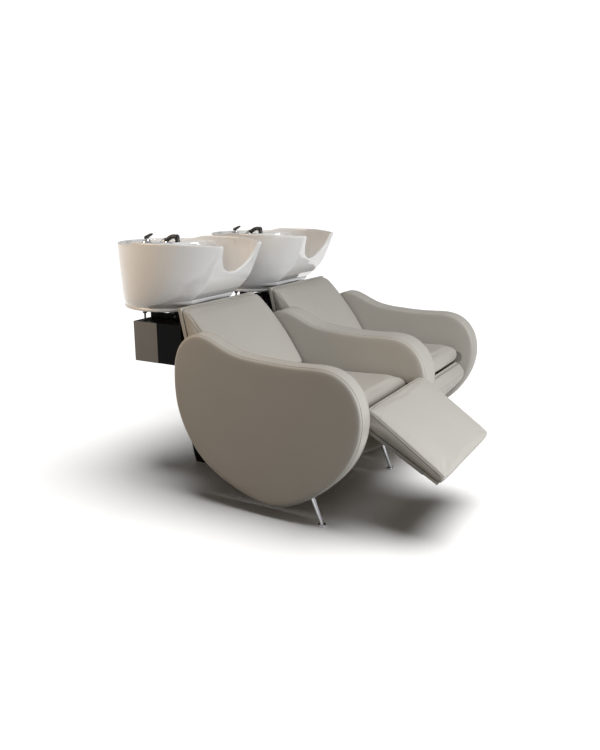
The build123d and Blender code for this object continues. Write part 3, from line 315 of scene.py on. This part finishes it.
def makePanel(side, middle, thickness):
    # rings across the panel: one face, the band and the other face, each an inset of the outline
    form = panelForm
    shares = np.array(form["shares"])
    count = form["points"]
    points = np.stack([panelBack - shares[:, 0] * form["depth"], form["low"] + shares[:, 1] * form["height"]], 1)
    outline = closedCurve(points, count)
    run = np.roll(outline, -1, 0) - np.roll(outline, 1, 0)
    run /= np.linalg.norm(run, axis=1)[:, None]
    inward = np.stack([-run[:, 1], run[:, 0]], 1)
    half = thickness / 2
    seamX = half - form["seamDepth"]
    # edge band: bulges outwards between the two seams by one minus the fourth power of the share across
    band = []
    for share in np.linspace(-1, 1, form["bandRows"]):
        inset = form["seamInset"] - form["bandCrown"] * (1 - share**4)
        band.append((seamX * share, outline + inward * inset))
    # face: rises from the seam by the table and runs on to the middle with a slight crown
    face = []
    for inset, rise in zip(form["insets"], form["rises"]):
        face.append((seamX + rise, outline + inward * inset))
    base = outline + inward * form["insets"][-1]
    centre = base.mean(0)
    for shrink in form["shrinks"]:
        rise = form["rises"][-1] + form["faceCrown"] * (1 - shrink)
        face.append((seamX + rise, centre + (base - centre) * shrink))
    full = [(-x, ring) for x, ring in face[::-1]] + band + face
    grid = np.stack([np.concatenate([np.full((count, 1), middle + x), ring], 1) for x, ring in full])
    panel = ringMesh(f"panel_upholstery_{side}", grid, leather, flip=True)
    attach(panel, "base")
    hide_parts(f"side_panel_cover_{side}")
    seam = outline + inward * (form["seamInset"] + form["pipeSunk"])
    for mark, hand in (("a", -1), ("b", 1)):
        path = np.concatenate([np.full((count, 1), middle + hand * seamX), seam], 1)
        edge = tubeMesh(f"panel_piping_{side}_{mark}", path, form["pipe"], piping)
        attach(edge, "base")


for side, (middle, thickness) in panels.items():
    makePanel(side, middle, thickness)
print("panels made")


# Basins: one glazed surface from the foot over the rim and the deck into the bowl

basinForm = {
    "rise": (0, 0.20, 0.41, 0.655, 1), "front": (0.36, 0.23, 0.13, 0.068, 0),
    "rear": (0.965, 0.972, 0.98, 0.99, 1),
    "width": (0.82, 0.90, 0.95, 0.98, 1), "corner": (0.50, 0.60, 0.59, 0.58, 0.575),
    "frontY": -0.104, "rearY": 0.488, "half": 0.253, "under": 0.698, "foot": 0.710, "rim": 0.980,
    "widest": 0.40, "rearSide": 0.77, "rearHalf": 0.66, "wall": 0.011, "bowlRear": 0.308,
    "rimY": (-0.104, 0.044, 0.268, 0.308), "rimZ": (0.970, 0.978, 0.978, 0.966), "lip": 0.0052,
    "deck": 0.958, "deckThick": 0.013, "deckFall": 0.055,
    "floor": 0.722, "floorRound": 0.034, "floorFall": 0.003, "drainY": 0.200, "drainRadius": 0.0235,
    "notchRadius": 0.1274, "notchMiddle": 0.9846, "notchSoft": 0.006,
    "grooveZ": 0.7125, "grooveDepth": 0.0038, "grooveLow": 0.0028, "grooveHigh": 0.013, "footDrawn": 0.0012,
    "footRows": (0.7045, 0.7075, 0.7095, 0.7112, 0.713, 0.7155, 0.719, 0.724, 0.731, 0.740),
    "frontPoints": 112, "sidePoints": 52, "backPoints": 48, "rearPoints": 70,
    "holeX": 0.048, "holeY": 0.339, "holeAngle": 31, "holeRadius": 0.0101, "holeEnds": (-0.05, 0.0, 0.03),
    "levels": 189, "outlineRounds": 2, "topGuess": 0.97, "topRounds": 30, "notchReach": 0.08, "topEvened": 5,
    "rimSpread": 0.014, "rimSamples": 9, "rimTurns": 12, "rimSquare": 0.8, "footRound": 0.0022, "deckDrop": 0.0015,
    "underShares": (0, 0.35, 0.7, 0.985), "wallRows": 30, "deckRows": 31, "bowlRows": 34, "floorTurns": 9,
    "floorShares": (0.25, 0.5, 0.75, 0.92, 1.0), "innerEvened": 4, "hollowBelow": 0.01, "hollowLevels": 9,
    "hollowPoints": 60, "sharpAngle": 50,
}


farAbove = 2.0  # stands for no notch


def smoothTable(x, xs, ys):
    # cubic pieces through the table, each slope the mean of its neighbours
    xs, ys = np.asarray(xs, float), np.asarray(ys, float)
    slope = np.gradient(ys, xs)
    k = np.clip(np.searchsorted(xs, x) - 1, 0, len(xs) - 2)
    h = xs[k + 1] - xs[k]
    t = (x - xs[k]) / h
    return ((1 + 2 * t) * (1 - t)**2 * ys[k] + t * (1 - t)**2 * h * slope[k]
            + t * t * (3 - 2 * t) * ys[k + 1] + t * t * (t - 1) * h * slope[k + 1])


def basinOutlines(heights, inset, rearInset):
    # one closed outline per height: straight front, a circle from each front corner that runs along Y at the
    # widest place, a second one on to the rear side point, and a circle round the rear
    form = basinForm
    rise = np.clip((heights - form["foot"]) / (form["rim"] - form["foot"]), 0, 1)
    length = form["rearY"] - form["frontY"]
    front = form["frontY"] + smoothTable(rise, form["rise"], form["front"]) * length
    rear = form["frontY"] + smoothTable(rise, form["rise"], form["rear"]) * length
    widest = front + form["widest"] * (rear - front)
    front = front + inset
    rear = rear - rearInset
    half = smoothTable(rise, form["rise"], form["width"]) * form["half"] - inset
    corner = smoothTable(rise, form["rise"], form["corner"]) * form["half"] - inset / 2
    rearSide = widest + form["rearSide"] * (rear - widest)
    rearHalf = form["rearHalf"] * half

    def sideArc(end, reach, shares):
        # circle with its middle straight across from the widest place
        drop = half - end
        radius = ((drop**2 + reach**2) / (2 * drop))[:, None]
        turn = np.arcsin(reach[:, None] / radius) * shares
        return half[:, None] - radius + radius * np.cos(turn), radius * np.sin(turn)

    across = np.linspace(-1, 1, form["frontPoints"], endpoint=False) * corner[:, None]
    line = np.stack([across, np.broadcast_to(front[:, None], across.shape)], -1)
    x, y = sideArc(corner, widest - front, np.linspace(1, 0, form["sidePoints"], endpoint=False))
    right = np.stack([x, widest[:, None] - y], -1)
    x, y = sideArc(rearHalf, rearSide - widest, np.linspace(0, 1, form["backPoints"], endpoint=False))
    back = np.stack([x, widest[:, None] + y], -1)
    depth = rear - rearSide
    radius = (rearHalf**2 + depth**2) / (2 * depth)
    start = np.arctan2(radius - depth, rearHalf)[:, None]
    turn = start + (np.pi - 2 * start) * np.linspace(0, 1, form["rearPoints"], endpoint=False)
    radius = radius[:, None]
    end = np.stack([radius * np.cos(turn), rear[:, None] - radius + radius * np.sin(turn)], -1)
    x, y = sideArc(rearHalf, rearSide - widest, np.linspace(1, 0, form["backPoints"], endpoint=False))
    backLeft = np.stack([-x, widest[:, None] + y], -1)
    x, y = sideArc(corner, widest - front, np.linspace(0, 1, form["sidePoints"], endpoint=False))
    left = np.stack([-x, widest[:, None] - y], -1)
    rings = np.concatenate([line, right, back, end, backLeft, left], 1)
    return evened(rings.swapaxes(0, 1), form["outlineRounds"]).swapaxes(0, 1)


def rimPlane(y):
    # rim height by place: rises from the front, level along the sides, a soft step down beside the deck
    form = basinForm
    near = np.linspace(-1, 1, form["rimSamples"]) * form["rimSpread"]
    return np.mean([np.interp(y + shift, form["rimY"], form["rimZ"]) for shift in near], 0)


def softLower(a, b, width):
    # the lower of two heights with a rounded change over about the width
    gap = np.maximum(width - np.abs(a - b), 0)
    return np.minimum(a, b) - gap**2 / (4 * width)


def carve(piece, cutter):
    # the cutter's space is taken out of the piece
    cut = piece.modifiers.new("cut", "BOOLEAN")
    cut.operation = "DIFFERENCE"
    cut.solver = "EXACT"
    cut.object = cutter
    applyModifiers(piece)
    bpy.data.objects.remove(cutter)


def makeBasin(side, centre):
    # rows run from the drain hole under the foot, up the wall, over the rim and the deck and down to the hole
    form = basinForm
    heights = np.linspace(form["under"], form["rim"], form["levels"])
    below = heights < form["grooveZ"]
    reach = np.where(below, form["grooveLow"], form["grooveHigh"])
    groove = form["grooveDepth"] * np.exp(-((heights - form["grooveZ"]) / reach)**2)
    groove = groove + form["footDrawn"] * below
    outer = basinOutlines(heights, groove, groove)
    inner = basinOutlines(heights, form["wall"], form["wall"])
    bowl = basinOutlines(heights, form["wall"], form["rearY"] - form["bowlRear"])
    columns = outer.shape[1]
    column = np.arange(columns)

    def at(stack, z):
        # place on a stack of outlines at one height per column
        z = np.broadcast_to(np.asarray(z, float), (columns,))
        place = np.clip((z - heights[0]) / (heights[1] - heights[0]), 0, len(heights) - 1.001)
        k = place.astype(int)
        t = (place - k)[:, None]
        return np.concatenate([stack[k, column] * (1 - t) + stack[k + 1, column] * t, z[:, None]], 1)

    # rim height per column: the rim plane, and the round notch in the raked front
    top = np.full(columns, form["topGuess"])
    for _ in range(form["topRounds"]):
        place = at(outer, top)
        over = form["notchRadius"]**2 - place[:, 0]**2
        inNotch = (over > 0) & (place[:, 1] < form["notchReach"])
        notch = np.where(inNotch, form["notchMiddle"] - np.sqrt(np.maximum(over, 0)), farAbove)
        top = 0.5 * top + 0.5 * softLower(notch, rimPlane(place[:, 1]), form["notchSoft"])
    top = evened(top, form["topEvened"])

    lip = form["lip"]
    drain = np.array([0.0, form["drainY"]])
    low = at(outer, form["under"])
    turnRound = np.arctan2(low[:, 1] - drain[1], low[:, 0] - drain[0])
    hole = drain + form["drainRadius"] * np.stack([np.cos(turnRound), np.sin(turnRound)], 1)
    # underside from the drain hole out to the foot's rounded edge
    rows = [
        np.insert(hole * (1 - share) + low[:, :2] * share, 2, form["under"], 1) for share in form["underShares"]
    ]
    rows.append(at(outer, form["under"] + form["footRound"]))
    # outer wall up to below the rim
    rows += [at(outer, z) for z in form["footRows"]]
    wallStart = form["footRows"][-1]
    wallShares = np.linspace(0, 1, form["wallRows"])[1:]
    rows += [at(outer, wallStart + share * (top - lip - wallStart)) for share in wallShares]
    # rounded rim across the wall: a half turn, a little squarer than a circle
    outTop = at(outer, top - lip)
    inTop = at(inner, top - lip)
    for turn in np.linspace(0, np.pi, form["rimTurns"])[1:]:
        share = (1 - np.cos(turn)) / 2
        flat = outTop[:, :2] * (1 - share) + inTop[:, :2] * share
        rows.append(np.insert(flat, 2, top - lip + lip * np.sin(turn)**form["rimSquare"], 1))
    firstInner = len(rows) - 1
    # down to the deck, over it where there is one, and down the bowl's wall
    edge = np.minimum(form["deck"], top - lip - form["deckDrop"])
    deckWide = np.linalg.norm(at(inner, edge)[:, :2] - at(bowl, edge)[:, :2], axis=1)
    fall = np.maximum(form["deckFall"] - deckWide, 0)
    rows.append(at(inner, edge))
    for share in np.linspace(0, 1, form["deckRows"])[1:]:
        z = edge - fall * share
        rows.append(at(inner, z) * (1 - share) + at(bowl, z) * share)
    bottom = form["floor"] + form["floorFall"]
    wallEnd = bottom + form["floorRound"]
    for share in np.linspace(0, 1, form["bowlRows"])[1:]:
        rows.append(at(bowl, (edge - fall) * (1 - share) + wallEnd * share))
    lastInner = len(rows) - 1
    # rounded floor and its slight fall to the drain
    base = at(bowl, wallEnd)[:, :2]
    away = np.linalg.norm(base - drain, axis=1)[:, None]
    for turn in np.linspace(0, np.pi / 2, form["floorTurns"])[1:]:
        pull = form["floorRound"] * (1 - np.cos(turn)) / away
        fallen = wallEnd - form["floorRound"] * np.sin(turn)
        rows.append(np.insert(base * (1 - pull) + drain * pull, 2, fallen, 1))
    flatEdge = rows[-1][:, :2]
    for share in form["floorShares"]:
        fallen = bottom - form["floorFall"] * share
        rows.append(np.insert(flatEdge * (1 - share) + hole * share, 2, fallen, 1))
    grid = np.stack(rows)
    for _ in range(form["innerEvened"]):
        middle = grid[firstInner:lastInner + 2]
        grid[firstInner + 1:lastInner + 1] = 0.25 * middle[:-2] + 0.5 * middle[1:-1] + 0.25 * middle[2:]
    grid = np.concatenate([grid, grid[:1]])
    grid[:, :, 0] += centre
    grid[:, :, 1] += panelBack
    basin = ringMesh(f"glazed_basin_{side}", grid, glaze, False, False)
    weld(basin.data)

    # hollow under the deck, open below, and the slanted hole for the hand shower
    hollowTop = form["deck"] - form["deckThick"]
    levels = np.linspace(form["under"] - form["hollowBelow"], hollowTop, form["hollowLevels"])
    start = form["bowlRear"] + form["wall"]
    rings = []
    for z, ring in zip(levels, basinOutlines(np.maximum(levels, form["under"]), form["wall"], form["wall"])):
        rear = ring[ring[:, 1] > start]
        steps = np.concatenate([[0], np.cumsum(np.linalg.norm(np.diff(rear, axis=0), axis=1))])
        even = np.linspace(0, steps[-1], form["hollowPoints"])
        rear = np.stack([np.interp(even, steps, rear[:, 0]), np.interp(even, steps, rear[:, 1])], 1)
        rings.append(np.insert(rear, 2, z, 1))
    rings = np.stack(rings) + np.array([centre, panelBack, 0])
    carve(basin, ringMesh("deck_hollow", rings, glaze))
    slope = np.radians(form["holeAngle"])
    along = np.array([0, -np.cos(slope), np.sin(slope)])
    middle = np.array([centre + form["holeX"], panelBack + form["holeY"], form["deck"]])
    ends = middle + np.outer(form["holeEnds"], along)
    carve(basin, tubeMesh("shower_hole", ends, form["holeRadius"], glaze, False, 32))
    basin.data.set_sharp_from_angle(angle=math.radians(form["sharpAngle"]))
    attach(basin, f"basin_{side}")
    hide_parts(f"basin_{side}")


for side, centre in seatMiddles.items():
    makeBasin(side, centre)
print("basins made")


# Cushions: each starts slightly slimmer than its solid and is filled by pressure while its base is held

cushionForms = [
    {"name": "seat_cushion", "pressure": 3.0, "cap": 0.007, "slim": 0.0005, "held": "below", "soften": 4},
    {"name": "backrest_cushion", "pressure": 2.5, "cap": 0.006, "slim": 0.0015, "held": "behind", "soften": 8},
    {"name": "leg_rest_pad", "pressure": 2.0, "cap": 0.004, "slim": 0.001, "held": "board", "soften": 3},
]
clothForm = {
    "quality": 5, "mass": 0.4, "tension_stiffness": 30, "compression_stiffness": 30, "shear_stiffness": 15,
    "bending_stiffness": 6, "use_pressure": True, "vertex_group_mass": "held",
}
paddingForm = {
    "voxel": 0.0065, "frames": 20, "heldAbove": 0.6, "smoothing": 0.5,
    "drawnIn": 0.0012,  # furthest that the cloth sinks below its start
    "slid": 0.002,  # furthest that it slides along itself
}
seamForm = {
    "bead": 0.0014, "grooveDepth": 0.0016, "grooveWidth": 0.0032, "count": 420,
    "seatSide": 0.246, "backFace": (0.003, 0.0125), "legFace": 0.0865,
    "pivotAhead": 0.710, "pivotHeight": 0.387, "legAngle": 34.6, "legSwing": 100,
    "backTop": (-0.005, 0.733), "backMiddle": (-0.1319, 0.5955), "backLow": (-0.235, 0.4437),
    "backBase": (0, 0.974, -0.228), "backAlong": (0, -0.62, -0.785), "foundEvened": 6, "loopEvened": 10,
}


def legDirections(side):
    # unit directions along the leg rest and towards its padded face
    turn = np.radians(180 + seamForm["legAngle"] + (seamForm["legSwing"] if side == "right" else 0))
    return np.array([0, np.cos(turn), np.sin(turn)]), np.array([0, np.sin(turn), -np.cos(turn)])


def baseDirection(form, side):
    # unit direction from the cushion towards what it lies on
    if form["held"] == "below":
        return np.array([0, 0, -1.0])
    if form["held"] == "behind":
        return np.array(seamForm["backBase"])
    return -legDirections(side)[1]


def circleThrough(a, b, c):
    # middle and radius of the circle through three places
    a, b, c = (np.array(v, float) for v in (a, b, c))
    middle = np.linalg.solve(2 * np.array([b - a, c - a]), np.array([b @ b - a @ a, c @ c - a @ a]))
    return middle, np.linalg.norm(a - middle)


def seamFields(form, side, points):
    # for each seam of a cushion: a height over the points, the level it runs at, and two directions round it
    across = np.array([1.0, 0, 0])
    if form["held"] == "below":
        reach = points[:, 0] - seatMiddles[side]
        flat = (np.array([0, 1.0, 0]), np.array([0, 0, 1.0]))
        return [(reach, -seamForm["seatSide"], *flat), (reach, seamForm["seatSide"], *flat)]
    if form["held"] == "behind":
        # distance from the middle of the face's circle
        middle, radius = circleThrough(seamForm["backTop"], seamForm["backMiddle"], seamForm["backLow"])
        away = np.linalg.norm(points[:, 1:] - middle - np.array([panelBack, 0]), axis=1)
        along = np.array(seamForm["backAlong"])
        return [(away, radius - depth, across, along) for depth in seamForm["backFace"]]
    along, face = legDirections(side)
    pivot = np.array([0, panelBack - seamForm["pivotAhead"], seamForm["pivotHeight"]])
    return [((points - pivot) @ face, seamForm["legFace"], across, along)]


def levelLoop(points, edges, field, level, flatA, flatB):
    # where the edges cross the level, in order of the angle that the two flat directions give round the middle, and
    # spaced evenly by length
    a, b = edges[:, 0], edges[:, 1]
    low, high = field[a] - level, field[b] - level
    hit = low * high < 0
    share = (low[hit] / (low[hit] - high[hit]))[:, None]
    found = points[a[hit]] * (1 - share) + points[b[hit]] * share
    middle = (found.max(0) + found.min(0)) / 2
    found = found[np.argsort(np.arctan2((found - middle) @ flatB, (found - middle) @ flatA))]
    found = np.concatenate([found, found[:1]])
    for _ in range(seamForm["foundEvened"]):
        found[1:-1] = 0.25 * found[:-2] + 0.5 * found[1:-1] + 0.25 * found[2:]
    steps = np.concatenate([[0], np.cumsum(np.linalg.norm(np.diff(found, axis=0), axis=1))])
    even = np.linspace(0, steps[-1], seamForm["count"], endpoint=False)
    loop = np.stack([np.interp(even, steps, found[:, k]) for k in range(3)], 1)
    return evened(loop, seamForm["loopEvened"])


def meshArray(items, key, width, kind=np.float32):
    # one row of the width for each vertex or edge
    flat = np.empty(len(items) * width, dtype=kind)
    items.foreach_get(key, flat)
    return flat.reshape(-1, width).astype(float if kind == np.float32 else int)


def setPoints(mesh, points):
    mesh.vertices.foreach_set("co", points.astype(np.float32).ravel())
    mesh.update()


def fill(piece, form, held):
    # pressure swells the cloth from inside; its rise stays under the cap, and it is hardly drawn in or along
    start = meshArray(piece.data.vertices, "co", 3)
    normals = meshArray(piece.data.vertices, "normal", 3)
    group = piece.vertex_groups.new(name="held")
    group.add(np.nonzero(held)[0].tolist(), 1.0, "REPLACE")
    cloth = piece.modifiers.new("filling", "CLOTH")
    for key, value in clothForm.items():
        setattr(cloth.settings, key, value)
    cloth.settings.uniform_pressure_force = form["pressure"]
    cloth.settings.effector_weights.gravity = 0
    cloth.collision_settings.use_collision = False
    cloth.point_cache.frame_start = 1
    cloth.point_cache.frame_end = paddingForm["frames"]
    for step in range(1, paddingForm["frames"] + 1):
        bpy.context.scene.frame_set(step)
    mesh = bakedMesh(piece)
    bpy.context.scene.frame_set(1)
    moved = meshArray(mesh.vertices, "co", 3) - start
    rise = (moved * normals).sum(1)
    along = moved - normals * rise[:, None]
    size = np.maximum(np.linalg.norm(along, axis=1), 1e-9)
    along *= np.minimum(1, paddingForm["slid"] / size)[:, None]
    kept = np.clip(rise, -paddingForm["drawnIn"], form["cap"])
    setPoints(mesh, start + normals * kept[:, None] + along)
    piece.modifiers.clear()
    piece.vertex_groups.clear()
    piece.data = mesh
    print(piece.name, "filled, rise", round(float(rise.max()) * 1000, 1), "mm at most")


def makeCushion(form, side):
    # the solid as even cells, slimmed, filled, smoothed and split once, with a groove and a bead at each seam
    node = f"{form['name']}_{side}"
    mesh = nodes[node].data.copy()
    mesh.transform(nodes[node].matrix_world)
    piece = bpy.data.objects.new(f"{form['name']}_upholstery_{side}", mesh)
    bpy.context.scene.collection.objects.link(piece)
    remesh = piece.modifiers.new("voxels", "REMESH")
    remesh.mode = "VOXEL"
    remesh.voxel_size = paddingForm["voxel"]
    mesh = applyModifiers(piece)
    normals = meshArray(mesh.vertices, "normal", 3)
    held = normals @ baseDirection(form, side) > paddingForm["heldAbove"]
    slim = np.where(held, 0.0, form["slim"])[:, None]
    setPoints(mesh, meshArray(mesh.vertices, "co", 3) - normals * slim)
    fill(piece, form, held)
    soften = piece.modifiers.new("soften", "SMOOTH")
    soften.factor = paddingForm["smoothing"]
    soften.iterations = form["soften"]
    finer = piece.modifiers.new("finer", "SUBSURF")
    finer.levels = 1
    finer.render_levels = 1
    mesh = applyModifiers(piece)
    body = f"leg_rest_{side}" if form["held"] == "board" else "base"
    points = meshArray(mesh.vertices, "co", 3)
    normals = meshArray(mesh.vertices, "normal", 3)
    edges = meshArray(mesh.edges, "vertices", 2, np.int32)
    sink = np.zeros(len(points))
    for number, (field, level, flatA, flatB) in enumerate(seamFields(form, side, points), 1):
        loop = levelLoop(points, edges, field, level, flatA, flatB)
        bead = tubeMesh(f"{form['name']}_seam_{side}_{number}", loop, seamForm["bead"], piping)
        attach(bead, body)
        # the groove sinks as a bell curve of the distance from the seam's level
        bell = np.exp(-((field - level) / seamForm["grooveWidth"])**2)
        sink = np.maximum(sink, seamForm["grooveDepth"] * bell)
    setPoints(mesh, points - normals * sink[:, None])
    mesh.materials.clear()
    mesh.materials.append(leather)
    mesh.polygons.foreach_set("use_smooth", np.ones(len(mesh.polygons), dtype=bool))
    mesh.update()
    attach(piece, body)
    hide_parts(node)


for form in cushionForms:
    for side in seatMiddles:
        makeCushion(form, side)
print("cushions made")


# Floor, light and camera

lights = [
    {
        "name": "front_light", "place": (-0.7, -3.1, 1.35), "aim": (-0.3, -0.5, 0.45), "size": (1.5, 1.5),
        "power": 80, "colour": (0.96, 0.98, 1),
    },
    {
        "name": "warm_rear_light", "place": (-1.5, 1.5, 1.6), "aim": (-0.6, 0.2, 0.7), "size": (1.0, 1.0),
        "power": 14, "colour": (1, 0.77, 0.54),
    },
]
skyForm = {"seen": 1.05, "mirrored": 0.5, "lighting": 0.082, "tint": (1, 0.90, 0.78, 1)}
suns = [
    {"name": "overhead_light", "power": 0.85, "spread": 55, "turn": (-6, 4), "reaches": "EXCLUDE"},
    {"name": "floor_light", "power": 3.8, "spread": 48, "turn": (9, 10), "reaches": "INCLUDE"},
]
floorReach = 30
cameraForm = {"place": (-2.8233, -1.4657, 1.2013), "turn": (75.482, 0, -60.770), "lens": 35.41, "sensor": 36}


def makeFloor():
    # a flat square; light that it gives back to the unit comes from the sky's level instead
    corners = floorReach * np.array([(-1, -1, 0), (1, -1, 0), (1, 1, 0), (-1, 1, 0)], float)
    floor = setMesh("studio_floor", corners, [[0, 1, 2, 3]], made["pale_floor"])
    floor.visible_diffuse = False
    return floor


def linkFloor(holder, floor, state):
    # the light reaches only the floor, or everything but the floor
    receivers = bpy.data.collections.new(holder.name + "_floor")
    receivers.objects.link(floor)
    receivers.collection_objects[0].light_linking.link_state = state
    holder.light_linking.receiver_collection = receivers


def makeLight(form, floor):
    # a soft rectangle that lights everything but the floor
    lamp = bpy.data.lights.new(form["name"], "AREA")
    lamp.shape = "RECTANGLE"
    lamp.size, lamp.size_y = form["size"]
    lamp.energy = form["power"]
    lamp.color = form["colour"]
    holder = bpy.data.objects.new(form["name"], lamp)
    holder.location = form["place"]
    holder.rotation_euler = (Vector(form["aim"]) - Vector(form["place"])).to_track_quat("-Z", "Y").to_euler()
    bpy.context.scene.collection.objects.link(holder)
    linkFloor(holder, floor, "EXCLUDE")


def makeSky():
    # white where it is seen, dimmer in reflections, and dim and warm where it only lights
    sky = bpy.data.worlds.new("studio")
    bpy.context.scene.world = sky
    sky.use_nodes = True
    tree = sky.node_tree
    ground = tree.nodes["Background"]
    path = tree.nodes.new("ShaderNodeLightPath")
    tint = tree.nodes.new("ShaderNodeMix")
    tint.data_type = "RGBA"
    tint.inputs["A"].default_value = (1, 1, 1, 1)
    tint.inputs["B"].default_value = skyForm["tint"]
    tree.links.new(path.outputs["Is Diffuse Ray"], tint.inputs["Factor"])
    tree.links.new(tint.outputs["Result"], ground.inputs["Color"])
    levels = {"Is Glossy Ray": skyForm["mirrored"], "Is Camera Ray": skyForm["seen"]}
    before = None
    for output, level in levels.items():
        mix = tree.nodes.new("ShaderNodeMix")
        mix.inputs["A"].default_value = skyForm["lighting"]
        mix.inputs["B"].default_value = level
        if before:
            tree.links.new(before, mix.inputs["A"])
        tree.links.new(path.outputs[output], mix.inputs["Factor"])
        before = mix.outputs["Result"]
    tree.links.new(before, ground.inputs["Strength"])


def makeSun(form, floor):
    # a wide sun that lights only the floor, or everything else
    lamp = bpy.data.lights.new(form["name"], "SUN")
    lamp.energy = form["power"]
    lamp.angle = math.radians(form["spread"])
    holder = bpy.data.objects.new(form["name"], lamp)
    holder.rotation_euler = (*np.radians(form["turn"]), 0)
    bpy.context.scene.collection.objects.link(holder)
    linkFloor(holder, floor, form["reaches"])


floor = makeFloor()
makeSky()
for form in lights:
    makeLight(form, floor)
for form in suns:
    makeSun(form, floor)

camera = bpy.data.cameras.new("camera")
camera.lens = cameraForm["lens"]
camera.sensor_width = cameraForm["sensor"]
camera.sensor_fit = "AUTO"
view = bpy.data.objects.new("camera", camera)
view.location = cameraForm["place"]
view.rotation_euler = np.radians(cameraForm["turn"])
bpy.context.scene.collection.objects.link(view)
bpy.context.scene.camera = view
bpy.context.scene.view_settings.view_transform = "Standard"
print("stage made")
